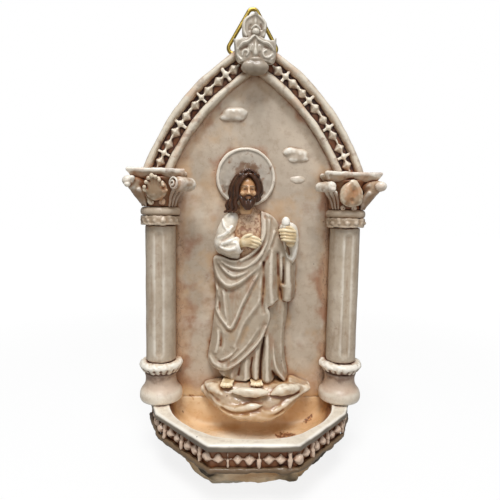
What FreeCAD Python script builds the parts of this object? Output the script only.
import FreeCAD, Part
import math
import os

Vec = FreeCAD.Vector

# A wall-hung holy water stoup in the Gothic manner, in millimetres.
# +X is to the right of someone facing it, +Y goes into the wall and +Z is up.
# The origin lies on the flat wall face, in the middle, at the height of the basin's rim.
# "Depth" always means the distance that something stands forward of the niche's ground.

# ---------------------------------------------------------------- board and columns
board_thickness = 8.0            # wall face to niche ground
board_side_inset = 1.0           # the board's sides lie this far inside the shafts' outer edge
board_foot_drop = 13.0           # board below the rim
column_half_spacing = 44.2
column_axis_depth = 5.6          # column axes, forward of the niche ground
shaft_radius = 7.15
shaft_length = 65.5
flute_radius = 1.35
flute_depth = 0.85
flute_end_margin = 4.9           # plain shaft left below the flute
flute_top_margin = 8.2           # plain shaft left above the flute

base_torus_radius = 10.2
base_torus_height = 5.0
base_scotia_radius = 7.6
base_scotia_height = 7.5
base_ring_radius = 8.9
base_ring_height = 1.5
base_bead_ring_radius = 9.4
base_bead_height = 5.5
base_bead_count = 20
neck_bead_ring_radius = 9.6
neck_bead_height = 4.5
neck_bead_count = 16
bead_core_share = 0.80           # the ring behind the beads, of the beads' outer radius
neck_band_radius = 9.3
neck_band_height = 4.0
bell_foot_radius = 8.2
bell_top_radius = 11.6
bell_height = 13.5
abacus_half_width = 13.25
abacus_hollow = 1.7              # how far each side of the abacus curves in
abacus_height = 3.5
abacus_edge_height = 1.3
abacus_undercut = 1.6

volute_reach = 15.8              # column axis to scroll axis, on the diagonal
volute_radius = 3.0
volute_length = 9.5
volute_drop = 2.7                # scroll axis below the underside of the abacus
volute_eye_radius = 1.1
volute_groove_radius = 2.0
volute_groove_depth = 0.5
stalk_width = 4.8
shell_rib_count = 7
shell_height = 13.0
shell_half_width = 5.4
shell_lean = 3.6                 # the ornament's top stands this far in front of its foot
ornament_thickness = 1.9

# ---------------------------------------------------------------- pointed arch
arch_foot_out = 9.6              # column axis to the arch's outer edge at its foot
arch_centre_drop = 38.5          # arc centres below the springing line
arch_ground_depth = 1.3
arch_height = 4.5                # mouldings' front, forward of the niche ground
outer_moulding_width = 3.3
channel_width = 6.7
inner_moulding_width = 2.9
tracery_period_angle = 8.35      # one cross and two lozenges, in degrees of arc
tracery_first_angle = 25.9
tracery_cross_count = 4
lozenge_length = 6.2
lozenge_width = 3.7
lozenge_height = 2.5
cross_bar_width = 1.3
cross_bar_height = 2.0
cross_knob_radius = 1.25
cross_knob_rise = 0.5            # knob's top above its bar
tracery_gap = 0.1                # between a knob and the lozenge beside it

# ---------------------------------------------------------------- finial
boss_half_width = 6.4
boss_height = 7.4
boss_projection = 5.6            # forward of the arch mouldings
crown_half_width = 9.6
crown_height = 9.2
crown_projection = 5.0
crown_above_apex = -10.8         # crown's foot, from the arch's apex
scroll_radius = 2.1
scroll_projection = 1.2
finial_knob_radius = 2.0
leaf_half_width = 5.1
leaf_height = 8.4
leaf_thickness = 4.0

# ---------------------------------------------------------------- basin
rim_projection = 48.3            # front of the rim, forward of the niche ground
rim_front_half_width = 18.6
rim_corner_depth = 21.5
rim_corner_out = 0.1             # rim's side corner beyond the column axis
rim_back_out = 7.8               # rim's end at the niche beyond the column axis
rim_thickness = 3.5
rim_side_land = 4.6              # rim's top surface beside the bowl
rim_front_land = 4.9
rim_edge_round = 0.9
band_recess = 3.0
band_height = 7.0
lower_moulding_height = 2.5
lower_moulding_inset = 0.7
bowl_depth = 17.0
bowl_wall = 4.0
bowl_floor_share = 0.42          # flat floor, of the bowl's size at the rim
bowl_stations = 6                # heights that shape the bowl
underside_stations = 3           # and its hidden seat in the rock
basin_period = 12.5
basin_first_cross = 2.0
basin_lozenge_length = 4.8
basin_lozenge_width = 3.9
basin_lozenge_height = 2.1
basin_cross_height = 1.6
rock_height = 15.8
rock_top_inset = 1.6
rock_foot_front_half_width = 17.0
rock_foot_corner = (29.0, 13.0)  # half width and depth
rock_foot_front = 31.0
rock_foot_back_half_width = 33.0

# ---------------------------------------------------------------- standing figure
figure_x = -3.6                  # middle of the head
head_centre_height = 102.6
head_depth = 8.6                 # head's centre, forward of the niche ground
hair_set_back = 2.4              # hair's middle behind the head's
head_radius = 5.1
head_half_height = 6.6
hair_radius = 7.9
hair_half_height = 9.6
halo_radius = 14.2
halo_rise = 5.2                  # halo's centre above the head's centre
halo_thickness = 1.4
halo_rim_width = 1.5
halo_rim_rise = 0.9
bond_gap = 0.15                  # glue line between curved pieces of the figure
hand_radius = 2.5
hand_half_length = 3.6
held_cup_radius = 2.2
held_cup_height = 5.0
foot_radius = 2.4
foot_length = 6.5

# ---------------------------------------------------------------- wall hanger
hanger_x = -1.5
ring_side = 27.0
ring_wire = 1.9
ring_corner_radius = 2.5
ring_below_apex = 4.4            # ring's hinge line below the arch's apex
ring_running_clearance = 0.08
strap_sheet = 0.6
strap_width = 8.0
strap_length = 13.0
strap_corner_radius = 2.2
strap_hole_drop = 8.3
screw_shank_radius = 1.1
screw_head_radius = 2.3
screw_head_height = 0.9
screw_slot_width = 0.6
screw_side_clearance = 0.05
screw_end_clearance = 0.2
screw_tip_wall = 0.8             # board left in front of the screw's hole
pocket_depth = 4.0
pocket_margin = 1.2

# ---------------------------------------------------------------- derived places
shaft_foot = base_torus_height + base_scotia_height + base_ring_height + base_bead_height
shaft_top = shaft_foot + shaft_length
neck_band_foot = shaft_top + neck_bead_height
bell_foot = neck_band_foot + neck_band_height
abacus_foot = bell_foot + bell_height
springing = abacus_foot + abacus_height
board_half_width = column_half_spacing + shaft_radius - board_side_inset
arch_half_width = column_half_spacing + arch_foot_out
arch_centre_x = arch_half_width
arch_centre_z = springing - arch_centre_drop
outer_radius = math.hypot(2 * arch_half_width, arch_centre_drop)
channel_outer_radius = outer_radius - outer_moulding_width
channel_inner_radius = channel_outer_radius - channel_width
niche_radius = channel_inner_radius - inner_moulding_width


def apex_height(radius):
    """Height of the point where the two arcs of this radius meet."""
    return arch_centre_z + math.sqrt(radius ** 2 - arch_centre_x ** 2)


apex = apex_height(outer_radius)
hinge_height = apex - ring_below_apex
screw_grip = board_thickness - pocket_depth - screw_tip_wall
strap_half_loop = ring_wire / 2 + ring_running_clearance + strap_sheet
hinge_y = -(pocket_depth - strap_half_loop)
far = 4 * rim_projection         # longer than any cutter needs to be


# ---------------------------------------------------------------- small tools
def front(depth):
    """Y of a point that stands this far forward of the niche's ground."""
    return -(board_thickness + depth)


def block(x0, x1, y0, y1, z0, z1):
    """Box between two corners, given in any order."""
    low = Vec(min(x0, x1), min(y0, y1), min(z0, z1))
    return Part.makeBox(abs(x1 - x0), abs(y1 - y0), abs(z1 - z0), low)


def outline(start, *steps):
    """Closed wire: a step is a point for a straight run, or (middle, end) for an arc."""
    edges = []
    here = start
    for step in steps:
        if isinstance(step, tuple):
            middle, end = step
            edges.append(Part.Arc(here, middle, end).toShape())
        else:
            end = step
            edges.append(Part.LineSegment(here, end).toShape())
        here = end
    if here.distanceToPoint(start) > 1e-6:
        edges.append(Part.LineSegment(here, start).toShape())
    return Part.Wire(edges)


def slab(wire, move):
    """Solid made by moving a flat closed wire along a vector."""
    return Part.Face(wire).extrude(move)


def fused(shapes):
    """One solid from several that overlap or touch."""
    whole = shapes[0]
    if len(shapes) > 1:
        whole = whole.multiFuse(shapes[1:])
    return whole.removeSplitter()


def mirrored(shape):
    """The same piece on the other side of the middle plane."""
    return shape.mirror(Vec(0, 0, 0), Vec(1, 0, 0))


def ahead_of_niche(shape, depth=0.0):
    """What is left of a shape in front of the niche's ground."""
    return shape.cut(block(-far, far, front(depth), far, -far, far))


def egg(centre, way, half_length, radius, straight=False):
    """Round solid lofted through discs, with small flat tips; straight between them if hidden."""
    way = Vec(way).normalize()
    discs = []
    for share in (-0.96, -0.75, -0.3, 0.3, 0.75, 0.96):
        disc = Part.makeCircle(radius * math.sqrt(1 - share ** 2),
                               centre + way * (half_length * share), way)
        discs.append(Part.Wire(disc))
    return Part.makeLoft(discs, True, straight)


# ---------------------------------------------------------------- pointed arch shapes
def arch_plate(radius, y_back, y_front, foot):
    """Plate whose outline is the pointed arch of this radius, from foot up to its apex."""
    discs = []
    for side in (-1, 1):
        centre = Vec(side * arch_centre_x, y_front, arch_centre_z)
        discs.append(Part.makeCylinder(radius, y_back - y_front, centre, Vec(0, 1, 0)))
    plate = discs[0].common(discs[1])
    return plate.common(block(-far, far, y_back, y_front, foot, far))


def arch_moulding(profile_wire):
    """Profile, drawn on the right arc's radius line, carried round both arcs and mitred."""
    centre = Vec(-arch_centre_x, 0, arch_centre_z)
    quarter = Part.Face(profile_wire).revolve(centre, Vec(0, -1, 0), 80)
    right = quarter.common(block(0, far, 0, -far, springing, far))
    return fused([right, mirrored(right)])


def arch_point(radius, angle, depth):
    """Point on the right arc at an angle above the horizontal."""
    turn = math.radians(angle)
    return Vec(-arch_centre_x + radius * math.cos(turn), front(depth),
               arch_centre_z + radius * math.sin(turn))


# ---------------------------------------------------------------- board
def make_back_board():
    """Board whose front is the niche's ground, with the hanger's pocket in its back."""
    y_front = front(0)
    shoulder = bell_foot + bell_height / 2
    foot_outline = outline(
        Vec(-board_half_width, y_front, -board_foot_drop),
        Vec(board_half_width, y_front, -board_foot_drop),
        Vec(board_half_width, y_front, bell_foot),
        Vec(arch_half_width, y_front, shoulder),
        Vec(arch_half_width, y_front, springing),
        Vec(-arch_half_width, y_front, springing),
        Vec(-arch_half_width, y_front, shoulder),
        Vec(-board_half_width, y_front, bell_foot))
    lower = slab(foot_outline, Vec(0, board_thickness, 0))
    board = fused([lower, arch_plate(outer_radius, 0, y_front, springing)])
    pocket_half = ring_half_width() + pocket_margin
    pocket_foot = hinge_height - ring_height() - pocket_margin
    pocket = block(hanger_x - pocket_half, hanger_x + pocket_half, 1, -pocket_depth,
                   pocket_foot, far)
    pilot = Part.makeCylinder(screw_shank_radius, screw_grip,
                              Vec(hanger_x, -pocket_depth - screw_grip, hinge_height - strap_hole_drop),
                              Vec(0, 1, 0))
    return board.cut(pocket.fuse(pilot))


# ---------------------------------------------------------------- arch pieces
def make_arch_ground():
    """Flat band behind the tracery, on which both mouldings sit."""
    outer = arch_plate(outer_radius, front(0), front(arch_ground_depth), springing)
    inner = arch_plate(niche_radius, front(0), front(arch_ground_depth), springing)
    return outer.cut(inner)


def make_arch_outer_moulding():
    """Half-round moulding on the arch's outer edge."""
    r_in = channel_outer_radius - arch_centre_x
    r_out = outer_radius - arch_centre_x
    y_seat = front(arch_ground_depth)
    y_top = front(arch_height)
    shoulder = y_top + outer_moulding_width * 0.35
    z = arch_centre_z
    return arch_moulding(outline(
        Vec(r_in, y_seat, z), Vec(r_in, shoulder, z),
        (Vec((r_in + r_out) / 2, y_top, z), Vec(r_out, shoulder, z)),
        Vec(r_out, y_seat, z)))


def make_arch_inner_moulding():
    """Moulding that rolls from the channel into the niche."""
    r_in = niche_radius - arch_centre_x
    r_out = channel_inner_radius - arch_centre_x
    y_seat = front(arch_ground_depth)
    y_top = front(arch_height)
    z = arch_centre_z
    slope = Vec(r_in + inner_moulding_width * 0.22, (y_seat + 2 * y_top) / 3, z)
    return arch_moulding(outline(
        Vec(r_in, y_seat, z), slope,
        (Vec((r_in + 2 * r_out) / 3, y_top, z), Vec(r_out, y_top + 0.6, z)),
        Vec(r_out, y_seat, z)))


def lozenge(middle, along, across, out, length, width, height):
    """Low pointed lozenge whose base is a diamond on its ground."""
    def diamond(share, lift):
        tips = [middle + along * (length / 2 * share), middle + across * (width / 2 * share),
                middle - along * (length / 2 * share), middle - across * (width / 2 * share)]
        return Part.makePolygon([tip + out * lift for tip in tips + tips[:1]])
    return Part.makeLoft([diamond(1.0, 0.0), diamond(0.94, height * 0.35), diamond(0.35, height)],
                         True, True)


def button(seat, out, side, radius, stations):
    """Six-sided knob on a seat: each station is a share of its radius and a height."""
    up = out.cross(side)
    rings = []
    for share, lift in stations:
        corners = []
        for number in range(6):
            turn = math.pi / 3 * number
            corners.append(seat + out * lift
                           + (side * math.cos(turn) + up * math.sin(turn)) * (radius * share))
        rings.append(Part.makePolygon(corners + corners[:1]))
    return Part.makeLoft(rings, True, True)


def cross_bar(middle, along, across, out, length, height):
    """Thin bar across the channel with a knob at its middle."""
    corners = [middle + across * (length / 2) + along * (cross_bar_width / 2),
               middle + across * (length / 2) - along * (cross_bar_width / 2),
               middle - across * (length / 2) - along * (cross_bar_width / 2),
               middle - across * (length / 2) + along * (cross_bar_width / 2)]
    bar = slab(Part.makePolygon(corners + corners[:1]), out * height)
    knob = button(middle, out, along, cross_knob_radius, [(1.0, 0.0), (1.0, height * 0.6),
                                                          (0.5, height + cross_knob_rise)])
    return fused([bar, knob])


def make_arch_tracery():
    """Crosses and lozenges along the right arc at equal steps."""
    middle_radius = (channel_inner_radius + channel_outer_radius) / 2
    pieces = []
    step = tracery_period_angle
    lozenge_offset = math.degrees((cross_knob_radius + tracery_gap + lozenge_length / 2) / middle_radius)
    for index in range(tracery_cross_count):
        angle = tracery_first_angle + index * step
        for turn, is_cross in ((-lozenge_offset, False), (0.0, True), (lozenge_offset, False)):
            here = math.radians(angle + turn)
            across = Vec(math.cos(here), 0, math.sin(here))
            along = Vec(-math.sin(here), 0, math.cos(here))
            middle = arch_point(middle_radius, angle + turn, arch_ground_depth)
            out = Vec(0, -1, 0)
            if is_cross:
                pieces.append(cross_bar(middle, along, across, out, channel_width - tracery_gap,
                                        cross_bar_height))
            else:
                pieces.append(lozenge(middle, along, across, out, lozenge_length, lozenge_width,
                                      lozenge_height))
    return Part.makeCompound(pieces)


# ---------------------------------------------------------------- finial
def make_finial_boss():
    """Rounded tongue that covers the mitre of the arch mouldings."""
    y_seat = front(arch_height)
    foot = apex + crown_above_apex - boss_height
    top = apex + crown_above_apex
    w = boss_half_width
    shape = outline(
        Vec(-w * 0.72, y_seat, top),
        (Vec(-w, y_seat, (foot + top) / 2), Vec(-w * 0.66, y_seat, foot + 0.9)),
        (Vec(0, y_seat, foot), Vec(w * 0.66, y_seat, foot + 0.9)),
        (Vec(w, y_seat, (foot + top) / 2), Vec(w * 0.72, y_seat, top)))
    body = slab(shape, Vec(0, -boss_projection, 0))
    rounded = [edge for edge in body.Edges
               if edge.BoundBox.YMax < y_seat - boss_projection + 0.01]
    return body.makeFillet(1.6, rounded)


def make_finial_crown():
    """Crown of two scrolls and a pointed middle leaf."""
    y_seat = front(arch_height)
    foot = apex + crown_above_apex
    top = foot + crown_height
    w = crown_half_width
    right_side = [
        Vec(w * 0.50, y_seat, foot),
        (Vec(w * 0.86, y_seat, foot + 1.3), Vec(w * 0.98, y_seat, foot + 4.6)),
        (Vec(w * 1.0, y_seat, foot + 7.0), Vec(w * 0.90, y_seat, top - 0.3)),
        (Vec(w * 0.66, y_seat, top - 2.1), Vec(w * 0.36, y_seat, top - 1.4)),
        Vec(0, y_seat, top + 0.8)]
    left_side = [
        Vec(-w * 0.36, y_seat, top - 1.4),
        (Vec(-w * 0.66, y_seat, top - 2.1), Vec(-w * 0.90, y_seat, top - 0.3)),
        (Vec(-w * 1.0, y_seat, foot + 7.0), Vec(-w * 0.98, y_seat, foot + 4.6)),
        (Vec(-w * 0.86, y_seat, foot + 1.3), Vec(-w * 0.50, y_seat, foot))]
    plate = slab(outline(Vec(-w * 0.50, y_seat, foot), *right_side, *left_side),
                 Vec(0, -crown_projection, 0))
    y_face = y_seat - crown_projection
    parts = [plate]
    for side in (-1, 1):
        eye = Vec(side * w * 0.52, y_face + 0.4, foot + 3.1)
        parts.append(Part.makeCone(scroll_radius, scroll_radius * 0.62, scroll_projection + 0.4,
                                   eye, Vec(0, -1, 0)))
    drop = lozenge(Vec(0, y_face, foot + 4.4), Vec(0, 0, 1), Vec(1, 0, 0), Vec(0, -1, 0),
                   6.4, 3.0, scroll_projection + 0.6)
    parts.append(drop)
    return fused(parts)


def make_finial_leaf():
    """Knob and leaf that stand on the crown."""
    y_back = front(arch_height)
    foot = apex + crown_above_apex + crown_height
    knob_z = foot + finial_knob_radius * 0.9
    w = leaf_half_width
    leaf_foot = foot + finial_knob_radius * 1.1
    top = leaf_foot + leaf_height
    leaf = slab(outline(
        Vec(-w * 0.42, y_back, leaf_foot),
        Vec(w * 0.42, y_back, leaf_foot),
        (Vec(w * 0.62, y_back, leaf_foot + 1.2), Vec(w, y_back, leaf_foot + leaf_height * 0.56)),
        (Vec(w * 0.62, y_back, top - 1.5), Vec(0, y_back, top)),
        (Vec(-w * 0.62, y_back, top - 1.5), Vec(-w, y_back, leaf_foot + leaf_height * 0.56)),
        (Vec(-w * 0.62, y_back, leaf_foot + 1.2), Vec(-w * 0.42, y_back, leaf_foot))),
        Vec(0, -leaf_thickness, 0))
    knob = Part.makeSphere(finial_knob_radius, Vec(0, y_back - leaf_thickness * 0.62, knob_z))
    stem = block(-w * 0.42, w * 0.42, y_back, y_back - leaf_thickness, foot + 0.9, leaf_foot)
    crown_clear = make_finial_crown()
    return fused([leaf, knob, stem]).cut(crown_clear)


# ---------------------------------------------------------------- columns
def at_column(x, z=0.0, radius=0.0):
    """Point at a height on the left column's axis, or that far from it towards +X."""
    return Vec(x + radius, front(column_axis_depth), z)


def turned(x, start, *steps):
    """Piece turned about a column's axis, cut flat where it meets the niche's ground."""
    def place(point):
        return at_column(x, point[1], point[0])
    placed = []
    for step in steps:
        if isinstance(step[0], tuple):
            placed.append((place(step[0]), place(step[1])))
        else:
            placed.append(place(step))
    face = Part.Face(outline(place(start), *placed))
    return ahead_of_niche(face.revolve(at_column(x), Vec(0, 0, 1), 360))


def make_column_base(x):
    """Torus, scotia and thin ring."""
    torus_side = base_torus_radius - base_torus_height / 2
    scotia_top = base_torus_height + base_scotia_height
    ring_top = scotia_top + base_ring_height
    ring_side = base_ring_radius - base_ring_height / 2
    return turned(
        x, (0, 0), (torus_side, 0),
        ((base_torus_radius, base_torus_height / 2), (torus_side, base_torus_height)),
        ((base_scotia_radius, base_torus_height + base_scotia_height * 0.55),
         (ring_side, scotia_top)),
        ((base_ring_radius, scotia_top + base_ring_height / 2), (ring_side, ring_top)),
        (0, ring_top))


def bead_ring(x, foot, height, radius, count):
    """Ring of beads round a core, as one piece."""
    core_radius = radius * bead_core_share
    bead_radius = min(math.pi * radius * 0.95 / count, height * 0.46)
    core = turned(x, (0, foot), (core_radius, foot), (core_radius, foot + height),
                  (0, foot + height))
    beads = []
    for index in range(count):
        angle = 2 * math.pi * (index + 0.5) / count
        out = Vec(math.cos(angle), math.sin(angle), 0)
        if out.y * radius < column_axis_depth - bead_radius:
            seat = at_column(x, foot + height / 2) + out * (radius - 1.8 * bead_radius)
            beads.append(button(seat, out, out.cross(Vec(0, 0, 1)), bead_radius,
                                [(0.9, 0.0), (1.0, 0.9 * bead_radius), (0.45, 1.75 * bead_radius)]))
    return ahead_of_niche(fused([core] + beads))


def make_shaft(x):
    """Shaft with one round-ended flute on its front."""
    shaft = turned(x, (0, shaft_foot), (shaft_radius, shaft_foot), (shaft_radius, shaft_top),
                   (0, shaft_top))
    y_cut = front(column_axis_depth + shaft_radius - flute_depth + flute_radius)
    low = Vec(x, y_cut, shaft_foot + flute_end_margin + flute_radius)
    high = Vec(x, y_cut, shaft_top - flute_top_margin - flute_radius)
    cutter = Part.makeCylinder(flute_radius, high.z - low.z, low, Vec(0, 0, 1))
    cutter = fused([cutter, Part.makeSphere(flute_radius, low), Part.makeSphere(flute_radius, high)])
    return shaft.cut(cutter)


def make_neck_band(x):
    """Plain band with a slightly hollow face between the beads and the bell."""
    top = neck_band_foot + neck_band_height
    r = neck_band_radius
    return turned(x, (0, neck_band_foot), (r, neck_band_foot),
                  ((r - 0.5, (neck_band_foot + top) / 2), (r, top)), (0, top))


def make_bell(x, grow=0.0):
    """Capital's bell, flaring in a hollow curve."""
    top = abacus_foot
    foot_r = bell_foot_radius + grow
    top_r = bell_top_radius + grow
    belly = (foot_r + (top_r - foot_r) * 0.25, bell_foot + bell_height * 0.6)
    return turned(x, (0, bell_foot), (foot_r, bell_foot), (belly, (top_r, top)), (0, top))


def make_volutes(x):
    """Two front corner scrolls, each on a curved stalk that grows from the bell."""
    scroll_z = abacus_foot - volute_drop
    bell = make_bell(x, bond_gap)
    pieces = []
    for side in (-1, 1):
        reach = Vec(side, -1, 0).normalize()
        axis = Vec(side, 1, 0).normalize()
        axis_at = at_column(x)

        def place(radius, z):
            return axis_at + reach * radius + Vec(0, 0, z) - axis * (stalk_width / 2)

        stalk = slab(outline(
            place(bell_foot_radius * 0.9, bell_foot),
            (place(volute_reach * 0.64, bell_foot + bell_height * 0.46),
             place(volute_reach - volute_radius * 0.2, scroll_z - volute_radius * 0.9)),
            place(volute_reach, abacus_foot),
            place(bell_top_radius * 0.6, abacus_foot)), axis * stalk_width)
        scroll_centre = axis_at + reach * volute_reach + Vec(0, 0, scroll_z)
        start = scroll_centre - axis * (volute_length / 2)
        scroll = Part.makeCylinder(volute_radius - 0.001, volute_length, start, axis)
        for end, inward in ((start, axis), (start + axis * volute_length, axis * -1)):
            groove = Part.makeCylinder(volute_groove_radius, volute_groove_depth, end, inward)
            eye = Part.makeCylinder(volute_eye_radius, volute_groove_depth, end, inward)
            scroll = scroll.cut(groove.cut(eye))
        piece = fused([stalk, scroll]).cut(bell)
        piece = piece.cut(block(-far, far, -far, far, abacus_foot, far))
        pieces.append(ahead_of_niche(piece, bond_gap))
    return Part.makeCompound(pieces)


def leaning(piece, foot, lean):
    """Piece turned about its foot so that its top stands forward."""
    tilt = math.degrees(math.atan2(lean, shell_height))
    piece.rotate(foot, Vec(1, 0, 0), tilt)
    return piece


def make_shell_ornament(x):
    """Ribbed shell on the front of a capital, leaning out with the bell."""
    foot = at_column(x, bell_foot) + Vec(0, -(bell_foot_radius + bond_gap), 0)
    w = shell_half_width
    h = shell_height
    ribs = []
    for index in range(shell_rib_count):
        spread = (index / (shell_rib_count - 1) - 0.5) * 2
        tip = foot + Vec(spread * w, -1.0, h * (0.99 - 0.38 * spread ** 2))
        root = foot + Vec(spread * w * 0.12, -0.6, 0.8)
        ribs.append(Part.makeCone(0.55, 1.15, root.distanceToPoint(tip), root, tip - root))
    plate = slab(outline(
        foot + Vec(-w * 0.35, 0, 0.2), foot + Vec(w * 0.35, 0, 0.2),
        (foot + Vec(w * 0.98, 0, h * 0.38), foot + Vec(w * 0.9, 0, h * 0.66)),
        (foot + Vec(0, 0, h), foot + Vec(-w * 0.9, 0, h * 0.66)),
        (foot + Vec(-w * 0.98, 0, h * 0.38), foot + Vec(-w * 0.35, 0, 0.2))),
        Vec(0, -ornament_thickness * 0.6, 0))
    shell = leaning(fused([plate] + ribs), foot, shell_lean)
    return shell.cut(make_bell(x, bond_gap)).cut(block(-far, far, -far, far, abacus_foot - 0.1, far))


def make_leaf_ornament(x):
    """Plain folded leaf on the front of the other capital."""
    foot = at_column(x, bell_foot) + Vec(0, -(bell_foot_radius + bond_gap), 0)
    w = shell_half_width * 0.96
    h = shell_height * 0.95

    def section(z, half, fold):
        corners = [foot + Vec(-half, 0, z), foot + Vec(0, -fold, z), foot + Vec(half, 0, z),
                   foot + Vec(half * 0.8, -ornament_thickness, z),
                   foot + Vec(0, -fold - ornament_thickness * 1.2, z),
                   foot + Vec(-half * 0.8, -ornament_thickness, z)]
        return Part.makePolygon(corners + corners[:1])
    leaf = Part.makeLoft([section(0.2, w * 0.4, 0.2), section(h * 0.45, w, 0.8),
                          section(h * 0.8, w * 0.72, 1.2), section(h, w * 0.12, 0.7)], True, True)
    leaf = leaning(leaf, foot, shell_lean)
    return leaf.cut(make_bell(x, bond_gap)).cut(block(-far, far, -far, far, abacus_foot - 0.1, far))


def make_abacus(x):
    """Concave-sided cap of the capital, on which the arch stands."""
    def ring(half, z):
        hollow = half - abacus_hollow
        c = at_column(x, z)
        return outline(
            c + Vec(-half, -half, 0), (c + Vec(0, -hollow, 0), c + Vec(half, -half, 0)),
            (c + Vec(hollow, 0, 0), c + Vec(half, half, 0)),
            (c + Vec(0, hollow, 0), c + Vec(-half, half, 0)),
            (c + Vec(-hollow, 0, 0), c + Vec(-half, -half, 0)))
    edge_foot = springing - abacus_edge_height
    lower = Part.makeLoft([ring(abacus_half_width - abacus_undercut, abacus_foot),
                           ring(abacus_half_width, edge_foot)], True, True)
    upper = slab(ring(abacus_half_width, edge_foot), Vec(0, 0, abacus_edge_height))
    return ahead_of_niche(fused([lower, upper]))


# ---------------------------------------------------------------- basin
rim_plan = [(-(column_half_spacing + rim_back_out), 0.0),
            (-(column_half_spacing + rim_corner_out), rim_corner_depth),
            (-rim_front_half_width, rim_projection),
            (rim_front_half_width, rim_projection),
            (column_half_spacing + rim_corner_out, rim_corner_depth),
            (column_half_spacing + rim_back_out, 0.0)]


def inset_plan(inset):
    """The rim's outline moved inwards by one distance on every outer side."""
    sides = []
    for (x0, d0), (x1, d1) in zip(rim_plan, rim_plan[1:]):
        run = math.hypot(x1 - x0, d1 - d0)
        along = ((x1 - x0) / run, (d1 - d0) / run)
        inward = (along[1], -along[0])
        sides.append(((x0 + inward[0] * inset, d0 + inward[1] * inset), along))
    niche_line = ((0.0, 0.0), (1.0, 0.0))
    corners = []
    lines = [niche_line] + sides + [niche_line]
    for (p, u), (q, v) in zip(lines, lines[1:]):
        turn = u[0] * v[1] - u[1] * v[0]
        share = ((q[0] - p[0]) * v[1] - (q[1] - p[1]) * v[0]) / turn
        corners.append((p[0] + u[0] * share, p[1] + u[1] * share))
    return corners


def plan_slab(inset, z0, z1):
    """Solid slice of the basin between two heights."""
    corners = [Vec(x, front(depth), z0) for x, depth in inset_plan(inset)]
    return slab(Part.makePolygon(corners + corners[:1]), Vec(0, 0, z1 - z0))


bowl_half_width = column_half_spacing + rim_corner_out - rim_side_land
bowl_projection = rim_projection - rim_front_land
band_top = -rim_thickness
moulding_top = band_top - band_height
moulding_foot = moulding_top - lower_moulding_height


def bowl_form(depth, wall, z_top, z_bottom, stations):
    """Round-bottomed half bowl against the niche, between two heights."""
    rings = []
    for step in range(stations):
        sink = step / (stations - 1)
        z = z_top + (z_bottom - z_top) * sink
        share = bowl_floor_share + (1 - bowl_floor_share) * math.sqrt(
            max(0.0, 1 - (min(z, 0.0) / depth) ** 2))
        reach = bowl_half_width * share + wall
        left = Vec(-reach, front(0), z)
        right = Vec(reach, front(0), z)
        tip = Vec(0, front(bowl_projection * share + wall), z)
        rings.append(outline(left, right, (tip, left)))
    return Part.makeLoft(rings, True, False)


def bowl_hollow():
    """The water's space, with a small flat floor."""
    return bowl_form(bowl_depth, 0.0, 0.0, -bowl_depth, bowl_stations)


def bowl_underside(grow=0.0):
    """Round bottom of the bowl that sits in the rock."""
    depth = bowl_depth + bowl_wall
    return bowl_form(depth, grow, moulding_foot, -depth - grow, underside_stations)


def make_basin_rim():
    """Flat-topped rim in front of the niche, open over the bowl."""
    rim = plan_slab(0, -rim_thickness, 0)
    outer_top = [edge for edge in rim.Edges
                 if edge.BoundBox.ZMin > -0.01 and edge.BoundBox.YMin < front(1)]
    return rim.makeFillet(rim_edge_round, outer_top).cut(bowl_hollow())


def make_basin_bowl():
    """Bowl whose outer faces are the recessed ground of the ornament band."""
    body = fused([plan_slab(band_recess, moulding_foot, band_top), bowl_underside()])
    return body.cut(bowl_hollow())


def make_lower_moulding():
    """Strip below the ornament band."""
    outer = plan_slab(lower_moulding_inset, moulding_foot, moulding_top)
    lower_edges = [edge for edge in outer.Edges
                   if edge.BoundBox.ZMax < moulding_foot + 0.01 and edge.BoundBox.YMin < front(1)]
    outer = outer.makeChamfer(0.7, lower_edges)
    return outer.cut(plan_slab(band_recess, moulding_foot - 1, moulding_top + 1))


def make_basin_tracery():
    """Crosses and lozenges at equal steps along the basin's outer faces."""
    corners = inset_plan(band_recess)
    sides = list(zip(corners, corners[1:]))
    lengths = [math.hypot(x1 - x0, d1 - d0) for (x0, d0), (x1, d1) in sides]
    run_start = -lengths[2] / 2 - lengths[0] - lengths[1]    # distances run from the front's middle
    z = (band_top + moulding_top) / 2
    half = basin_lozenge_length / 2
    lozenge_offset = half + cross_knob_radius + tracery_gap
    pieces = []
    for ((x0, d0), (x1, d1)), length in zip(sides, lengths):
        along = Vec(x1 - x0, -(d1 - d0), 0).normalize()
        out = Vec(along.y, -along.x, 0)
        across = Vec(0, 0, 1)

        def place(distance):
            return Vec(x0, front(d0), z) + along * distance

        number = math.ceil((run_start - basin_first_cross) / basin_period) - 1
        while basin_first_cross + number * basin_period < run_start + length + basin_period:
            cross = basin_first_cross + number * basin_period - run_start
            if cross_knob_radius < cross < length - cross_knob_radius:
                pieces.append(cross_bar(place(cross), along, across, out,
                                        band_height - tracery_gap, basin_cross_height))
            for spot in (cross - lozenge_offset, cross + lozenge_offset):
                if half + tracery_gap < spot < length - half - tracery_gap:
                    pieces.append(lozenge(place(spot), along, across, out, basin_lozenge_length,
                                          basin_lozenge_width, basin_lozenge_height))
            number += 1
        run_start += length
    return Part.makeCompound(pieces)


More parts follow.
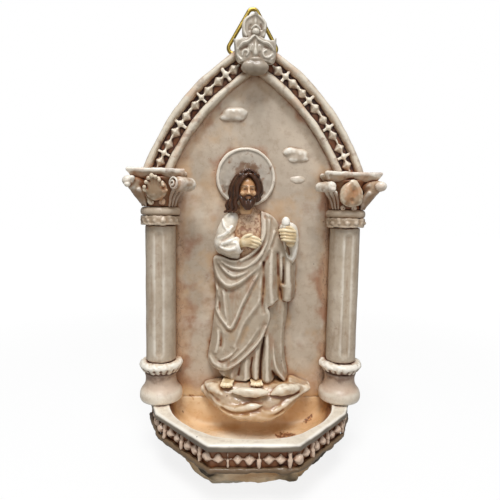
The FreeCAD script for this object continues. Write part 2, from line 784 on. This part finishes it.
def make_rock_underside():
    """Rough base under the basin, narrowing to a broken foot."""
    top = [(x, depth) for x, depth in inset_plan(rock_top_inset)]
    top = [(top[0][0], -board_thickness)] + top[1:-1] + [(top[-1][0], -board_thickness)]
    half, depth = rock_foot_corner
    foot = [(-rock_foot_back_half_width, -board_thickness), (-half, depth),
            (-rock_foot_front_half_width, rock_foot_front),
            (rock_foot_front_half_width * 1.05, rock_foot_front * 0.96),
            (half * 1.03, depth * 1.1), (rock_foot_back_half_width, -board_thickness)]
    rings = []
    for plan, z in ((top, moulding_foot), (foot, moulding_foot - rock_height)):
        corners = [Vec(x, front(d), z) for x, d in plan]
        rings.append(Part.makePolygon(corners + corners[:1]))
    rock = Part.makeLoft(rings, True, True)
    foot_z = moulding_foot - rock_height
    chips = [(Vec(30, front(26), foot_z), Vec(0.75, -0.45, -0.55), 3.6),
             (Vec(-27, front(27), foot_z), Vec(-0.7, -0.5, -0.5), 4.2),
             (Vec(2, front(31), foot_z), Vec(0.1, -0.75, -0.65), 2.6)]
    for corner, way, bite in chips:
        face_at = corner - way.normalize() * bite
        tool = Part.makeBox(60, 60, 60, Vec(-30, -30, 0))
        tool.Placement = FreeCAD.Placement(face_at, FreeCAD.Rotation(Vec(0, 0, 1), way))
        rock = rock.cut(tool)
    return rock.cut(bowl_underside(bond_gap))


# ---------------------------------------------------------------- figure
# Stations of a robe: height, left edge, right edge and depth.
tunic_stations = [(9.6, -14.0, 17.5, 6.0), (27.0, -13.0, 16.5, 7.0), (45.0, -12.0, 17.5, 7.6),
                  (68.0, -13.0, 14.0, 8.2), (82.0, -13.5, 11.5, 8.8), (89.0, -11.0, 7.5, 8.0),
                  (93.0, -7.5, 1.0, 6.8)]
mantle_stations = [(14.0, -20.0, 9.0, 7.6), (27.0, -20.6, 10.0, 9.0), (45.0, -18.5, 12.5, 9.8),
                   (60.0, -18.3, 20.5, 10.2), (72.0, -19.2, 20.0, 10.6), (84.0, -15.5, 14.0, 10.6),
                   (93.0, -9.0, 6.0, 8.6)]
mantle_hem = [(-23.0, 13.0), (-9.0, 15.0), (9.5, 44.0), (23.0, 48.5)]
mantle_neck = [(-23.0, 69.0), (-10.0, 66.0), (0.5, 80.0), (1.0, 95.0)]
right_arm = [(-11.2, 5.0, 87.0, 4.6), (-15.0, 6.5, 76.0, 4.4), (-5.8, 11.3, 76.4, 3.4)]
left_arm = [(9.5, 5.0, 84.0, 4.4), (18.0, 7.0, 74.5, 4.2), (16.2, 11.0, 79.2, 3.2)]
right_hand = (-1.0, 13.6, 78.6)
left_hand = (15.6, 12.6, 82.2)
foot_toes = [(-11.6, 14.5), (1.4, 14.0)]
# Stations of the cloud bank: x, its top at the niche, its depth at the lip and the lip's height.
cloud_stations = [(-24.2, 15.0, 2.4, 10.0), (-20.5, 14.0, 9.0, 3.6), (-14.0, 11.5, 14.5, -2.0),
                  (-5.0, 10.0, 18.0, -4.6), (4.5, 10.0, 19.0, -5.2), (13.0, 11.0, 16.5, -4.2),
                  (20.0, 12.5, 12.4, 0.8), (27.0, 14.5, 10.0, 4.6), (32.5, 12.5, 3.0, 8.0)]
cloud_lip_height = 3.2
cloud_top = 8.2                  # level seat for the feet
cloud_seat_left = -15.5
cloud_seat_right = 18.5
sky_cloud_lumps = [[(-13.4, 137.6, 3.4), (-7.0, 138.6, 4.4)], [(16.4, 120.2, 3.6), (22.6, 119.4, 4.6)]]
sky_cloud_sink = 0.72            # how far a lump's middle lies behind the ground, of its radius


def robe(stations, grow=0.0):
    """Relief body lofted through half-round sections that stand on the niche's ground."""
    rings = []
    for z, left, right, depth in stations:
        left_end = Vec(left - grow, front(0), z)
        right_end = Vec(right + grow, front(0), z)
        middle = Vec((left + right) / 2, front(depth + grow), z)
        rings.append(outline(left_end, right_end, (middle, left_end)))
    return Part.makeLoft(rings, True, False)


def limb(joints, grow=0.0):
    """Arm in a wide sleeve: cones between round joints."""
    parts = []
    for x, depth, z, radius in joints:
        parts.append(Part.makeSphere(radius + grow, Vec(x, front(depth), z)))
    for (x0, d0, z0, r0), (x1, d1, z1, r1) in zip(joints, joints[1:]):
        start = Vec(x0, front(d0), z0)
        end = Vec(x1, front(d1), z1)
        parts.append(Part.makeCone(r0 + grow, r1 + grow, start.distanceToPoint(end), start,
                                   end - start))
    return ahead_of_niche(fused(parts))


def mantle_shape(grow=0.0):
    """Cloak between its slanting hem and its crossing at the breast."""
    cloak = robe(mantle_stations, grow)
    low, high = -far, far
    below = [Vec(x, front(40), z - grow) for x, z in mantle_hem]
    below = [Vec(-far, front(40), below[0].z)] + below + [Vec(far, front(40), below[-1].z)]
    below += [Vec(far, front(40), low), Vec(-far, front(40), low)]
    above = [Vec(x - grow, front(40), z + grow) for x, z in mantle_neck]
    above = [Vec(-far, front(40), above[0].z)] + above[:-1] + [Vec(above[-1].x, front(40), high),
                                                            Vec(-far, front(40), high)]
    for ring in (below, above):
        cloak = cloak.cut(slab(Part.makePolygon(ring + ring[:1]), Vec(0, 60, 0)))
    return cloak


def figure_pieces():
    """Every piece of the figure, each cut clear of those that lie under it."""
    head_at = Vec(figure_x, front(head_depth), head_centre_height)
    halo_at = head_at + Vec(0, 0, halo_rise)
    halo_at.y = front(0)
    out = Vec(0, -1, 0)
    halo = Part.makeCylinder(halo_radius, halo_thickness, halo_at, out)
    rim_at = halo_at + out * halo_thickness
    rim = Part.makeCylinder(halo_radius, halo_rim_rise, rim_at, out).cut(
        Part.makeCylinder(halo_radius - halo_rim_width, halo_rim_rise, rim_at, out))
    halo_clear = Part.makeCylinder(halo_radius + bond_gap, halo_thickness + halo_rim_rise + bond_gap,
                                   halo_at, out)
    halo = fused([halo, rim])

    tunic = robe(tunic_stations).cut(halo_clear)
    tunic_clear = robe(tunic_stations, bond_gap)
    mantle = mantle_shape().cut(tunic_clear).cut(halo_clear)
    under = [tunic_clear, mantle_shape(bond_gap), halo_clear]

    def clear_of_under(piece):
        for tool in under:
            piece = piece.cut(tool)
        return largest(piece)

    up = Vec(0, 0, 1)
    head = clear_of_under(egg(head_at, up, head_half_height, head_radius))
    head_clear = egg(head_at, up, head_half_height + bond_gap, head_radius + bond_gap)
    hair_at = head_at + Vec(0, hair_set_back, -0.6)
    face_half = head_radius * 0.82
    face_window = block(head_at.x - face_half, head_at.x + face_half, front(head_depth + 1.6), -far,
                        head_at.z - head_half_height, head_at.z + head_half_height * 0.72)
    hair = egg(hair_at, up, hair_half_height, hair_radius, True).cut(head_clear).cut(face_window)
    hair = clear_of_under(hair)
    under.append(head_clear)
    under.append(egg(hair_at, up, hair_half_height + bond_gap, hair_radius + bond_gap))

    sleeves = {}
    for name, joints in (("figure_right_sleeve", right_arm), ("figure_left_sleeve", left_arm)):
        sleeves[name] = clear_of_under(limb(joints))
    sleeve_clear = [limb(right_arm, bond_gap), limb(left_arm, bond_gap)]
    under += sleeve_clear

    hands = {}
    for name, (x, depth, z) in (("figure_right_hand", right_hand), ("figure_left_hand", left_hand)):
        ball = egg(Vec(x, front(depth), z), Vec(1, 0, 0), hand_half_length, hand_radius, True)
        hands[name] = clear_of_under(ball)
    cup_foot = left_hand[2] + hand_radius + bond_gap
    cup = Part.makeCone(held_cup_radius * 0.7, held_cup_radius, held_cup_height,
                        Vec(left_hand[0], front(left_hand[1]), cup_foot), Vec(0, 0, 1))
    pieces = {"figure_halo": halo, "figure_tunic": largest(tunic), "figure_mantle": largest(mantle),
              "figure_head": head, "figure_hair": hair, "figure_held_cup": cup}
    pieces.update(sleeves)
    pieces.update(hands)
    return pieces


def largest(shape):
    """The biggest solid of a cut piece, without loose chips."""
    return max(shape.Solids, key=lambda solid: solid.Volume)


def make_cloud_base():
    """Bank of cloud that slopes from the niche to a lip over the bowl and carries the figure."""
    rings = []
    for x, top, depth, lip in cloud_stations:
        back_top = Vec(x, front(0), top)
        crest = Vec(x, front(depth * 0.62), lip + (top - lip) * 0.74)
        tip = Vec(x, front(depth), lip)
        under = Vec(x, front(depth * 0.68), lip - cloud_lip_height * 0.72)
        back_low = Vec(x, front(0), lip - cloud_lip_height)
        rings.append(outline(back_low, back_top, (crest, tip), (under, back_low)))
    bank = Part.makeLoft(rings, True, False)
    seat = block(-far, far, front(0), -far, cloud_top, far)
    stand = seat.common(block(cloud_seat_left, cloud_seat_right, -far, far, -far, far))
    return largest(bank.cut(stand).cut(mantle_shape(bond_gap)))


def make_feet():
    """Two bare feet below the hem, resting on the cloud."""
    tunic_clear = robe(tunic_stations, bond_gap)
    feet = []
    for x, depth in foot_toes:
        toe = Vec(x, front(depth - foot_radius), cloud_top)
        heel = Vec(x, front(depth - foot_length), cloud_top)
        sole = fused([Part.makeSphere(foot_radius, toe), Part.makeSphere(foot_radius * 0.8, heel),
                      Part.makeCone(foot_radius, foot_radius * 0.8, toe.distanceToPoint(heel), toe,
                                    heel - toe)])
        sole = sole.cut(block(-far, far, far, -far, -far, cloud_top))
        feet.append(largest(sole.cut(tunic_clear)))
    return Part.makeCompound(feet)


def make_sky_clouds():
    """Two small clouds in low relief on the niche's ground."""
    groups = []
    for lumps in sky_cloud_lumps:
        balls = []
        for x, z, half_width in lumps:
            sink = sky_cloud_sink
            radius = half_width / math.sqrt(1 - sink ** 2)
            ball = Part.makeSphere(radius, Vec(x, front(0) + radius * sink, z))
            balls.append(ahead_of_niche(ball))
        groups.append(fused(balls))
    return Part.makeCompound(groups)


# ---------------------------------------------------------------- wall hanger
def ring_height():
    """Hinge line to the top of the ring's wire."""
    return ring_side * math.sqrt(3) / 2 - ring_corner_radius + ring_wire / 2


def ring_half_width():
    """Middle of the ring to the outside of its lower corners."""
    return ring_side / 2 - ring_corner_radius * math.sqrt(3) + ring_corner_radius + ring_wire / 2


def make_hanger_ring():
    """Three-sided ring of round wire with rounded corners, standing up from its hinge line."""
    half = ring_side / 2
    tall = ring_side * math.sqrt(3) / 2
    tips = [Vec(-half, 0, 0), Vec(half, 0, 0), Vec(0, 0, tall)]
    shift = Vec(hanger_x, hinge_y, hinge_height)
    reach = ring_corner_radius * math.sqrt(3)
    stretches = []
    wire_radius = ring_wire / 2
    for index, tip in enumerate(tips):
        nxt = tips[(index + 1) % 3]
        prev = tips[index - 1]
        to_next = (nxt - tip).normalize()
        to_prev = (prev - tip).normalize()
        run = ring_side - 2 * reach
        stretches.append(Part.makeCylinder(wire_radius, run, shift + tip + to_next * reach, to_next))
        centre = tip + (to_next + to_prev).normalize() * (2 * ring_corner_radius)
        start = tip + to_prev * reach
        disc = Part.Face(Part.Wire(Part.makeCircle(wire_radius, shift + start, to_prev)))
        stretches.append(disc.revolve(shift + centre, Vec(0, -1, 0), 120))
    return fused(stretches)


def make_hanger_strap():
    """Sheet brass folded round the ring's lower side, with a two-ply tail for the screw."""
    x0 = hanger_x - strap_width / 2
    loop_inner = ring_wire / 2 + ring_running_clearance
    centre = Vec(x0, hinge_y, hinge_height)
    loop = Part.makeCylinder(strap_half_loop, strap_width, centre, Vec(1, 0, 0))
    tail = block(x0, x0 + strap_width, -pocket_depth, -pocket_depth + 2 * strap_sheet,
                 hinge_height - strap_length, hinge_height)
    bore = Part.makeCylinder(loop_inner, strap_width, centre, Vec(1, 0, 0))
    hole = Part.makeCylinder(screw_shank_radius, 2 * pocket_depth,
                             Vec(hanger_x, -2 * pocket_depth, hinge_height - strap_hole_drop),
                             Vec(0, 1, 0))
    strap = fused([loop, tail]).cut(bore).cut(hole)
    tail_corners = [edge for edge in strap.Edges
                    if edge.BoundBox.YLength > strap_sheet and edge.BoundBox.XLength < 0.01
                    and edge.BoundBox.ZMax < hinge_height - strap_length + 0.01]
    return strap.makeFillet(strap_corner_radius, tail_corners)


def make_hanger_screw():
    """Pan-head screw that holds the strap in the pocket."""
    z = hinge_height - strap_hole_drop
    head_y = -pocket_depth + 2 * strap_sheet
    shank_length = 2 * strap_sheet + screw_grip - screw_end_clearance
    shank = Part.makeCylinder(screw_shank_radius - screw_side_clearance, shank_length,
                              Vec(hanger_x, head_y - shank_length, z), Vec(0, 1, 0))
    head = Part.makeCone(screw_head_radius, screw_head_radius * 0.7, screw_head_height,
                         Vec(hanger_x, head_y, z), Vec(0, 1, 0))
    slot = block(hanger_x - far, hanger_x + far, head_y + screw_head_height * 0.45, 1,
                 z - screw_slot_width / 2, z + screw_slot_width / 2)
    return fused([shank, head]).cut(slot)


# ---------------------------------------------------------------- build and write
def all_pieces():
    """Every named piece of the stoup."""
    pieces = {"back_board": make_back_board(),
              "arch_ground": make_arch_ground(),
              "arch_outer_moulding": make_arch_outer_moulding(),
              "arch_inner_moulding": make_arch_inner_moulding(),
              "finial_boss": make_finial_boss(),
              "finial_crown": make_finial_crown(),
              "finial_leaf": make_finial_leaf(),
              "basin_rim": make_basin_rim(),
              "basin_bowl": make_basin_bowl(),
              "basin_tracery": make_basin_tracery(),
              "basin_lower_moulding": make_lower_moulding(),
              "rock_underside": make_rock_underside(),
              "cloud_base": make_cloud_base(),
              "figure_feet": make_feet(),
              "sky_clouds": make_sky_clouds(),
              "hanger_ring": make_hanger_ring(),
              "hanger_strap": make_hanger_strap(),
              "hanger_screw": make_hanger_screw()}
    pieces.update(figure_pieces())
    right_tracery = make_arch_tracery()
    pieces["right_arch_tracery"] = right_tracery
    pieces["left_arch_tracery"] = mirrored(right_tracery)
    base_bead_foot = base_torus_height + base_scotia_height + base_ring_height
    for name, x in (("left", -column_half_spacing), ("right", column_half_spacing)):
        pieces[name + "_column_base"] = make_column_base(x)
        pieces[name + "_base_beads"] = bead_ring(x, base_bead_foot, base_bead_height,
                                                 base_bead_ring_radius, base_bead_count)
        pieces[name + "_shaft"] = make_shaft(x)
        pieces[name + "_neck_beads"] = bead_ring(x, shaft_top, neck_bead_height,
                                                 neck_bead_ring_radius, neck_bead_count)
        pieces[name + "_neck_band"] = make_neck_band(x)
        pieces[name + "_capital_bell"] = make_bell(x)
        pieces[name + "_volutes"] = make_volutes(x)
        pieces[name + "_abacus"] = make_abacus(x)
    pieces["left_capital_shell"] = make_shell_ornament(-column_half_spacing)
    pieces["right_capital_leaf"] = make_leaf_ornament(column_half_spacing)
    return pieces


os.makedirs("parts", exist_ok=True)
for piece_name, piece in all_pieces().items():
    solids = piece.Solids
    if not solids or not all(solid.isValid() for solid in solids):
        raise RuntimeError("not a sound solid: " + piece_name)
    whole = solids[0] if len(solids) == 1 else Part.makeCompound(solids)
    whole.exportStep("parts/" + piece_name + ".step")
    print(piece_name, len(solids), "solid(s),", round(whole.Volume, 1), "mm3")
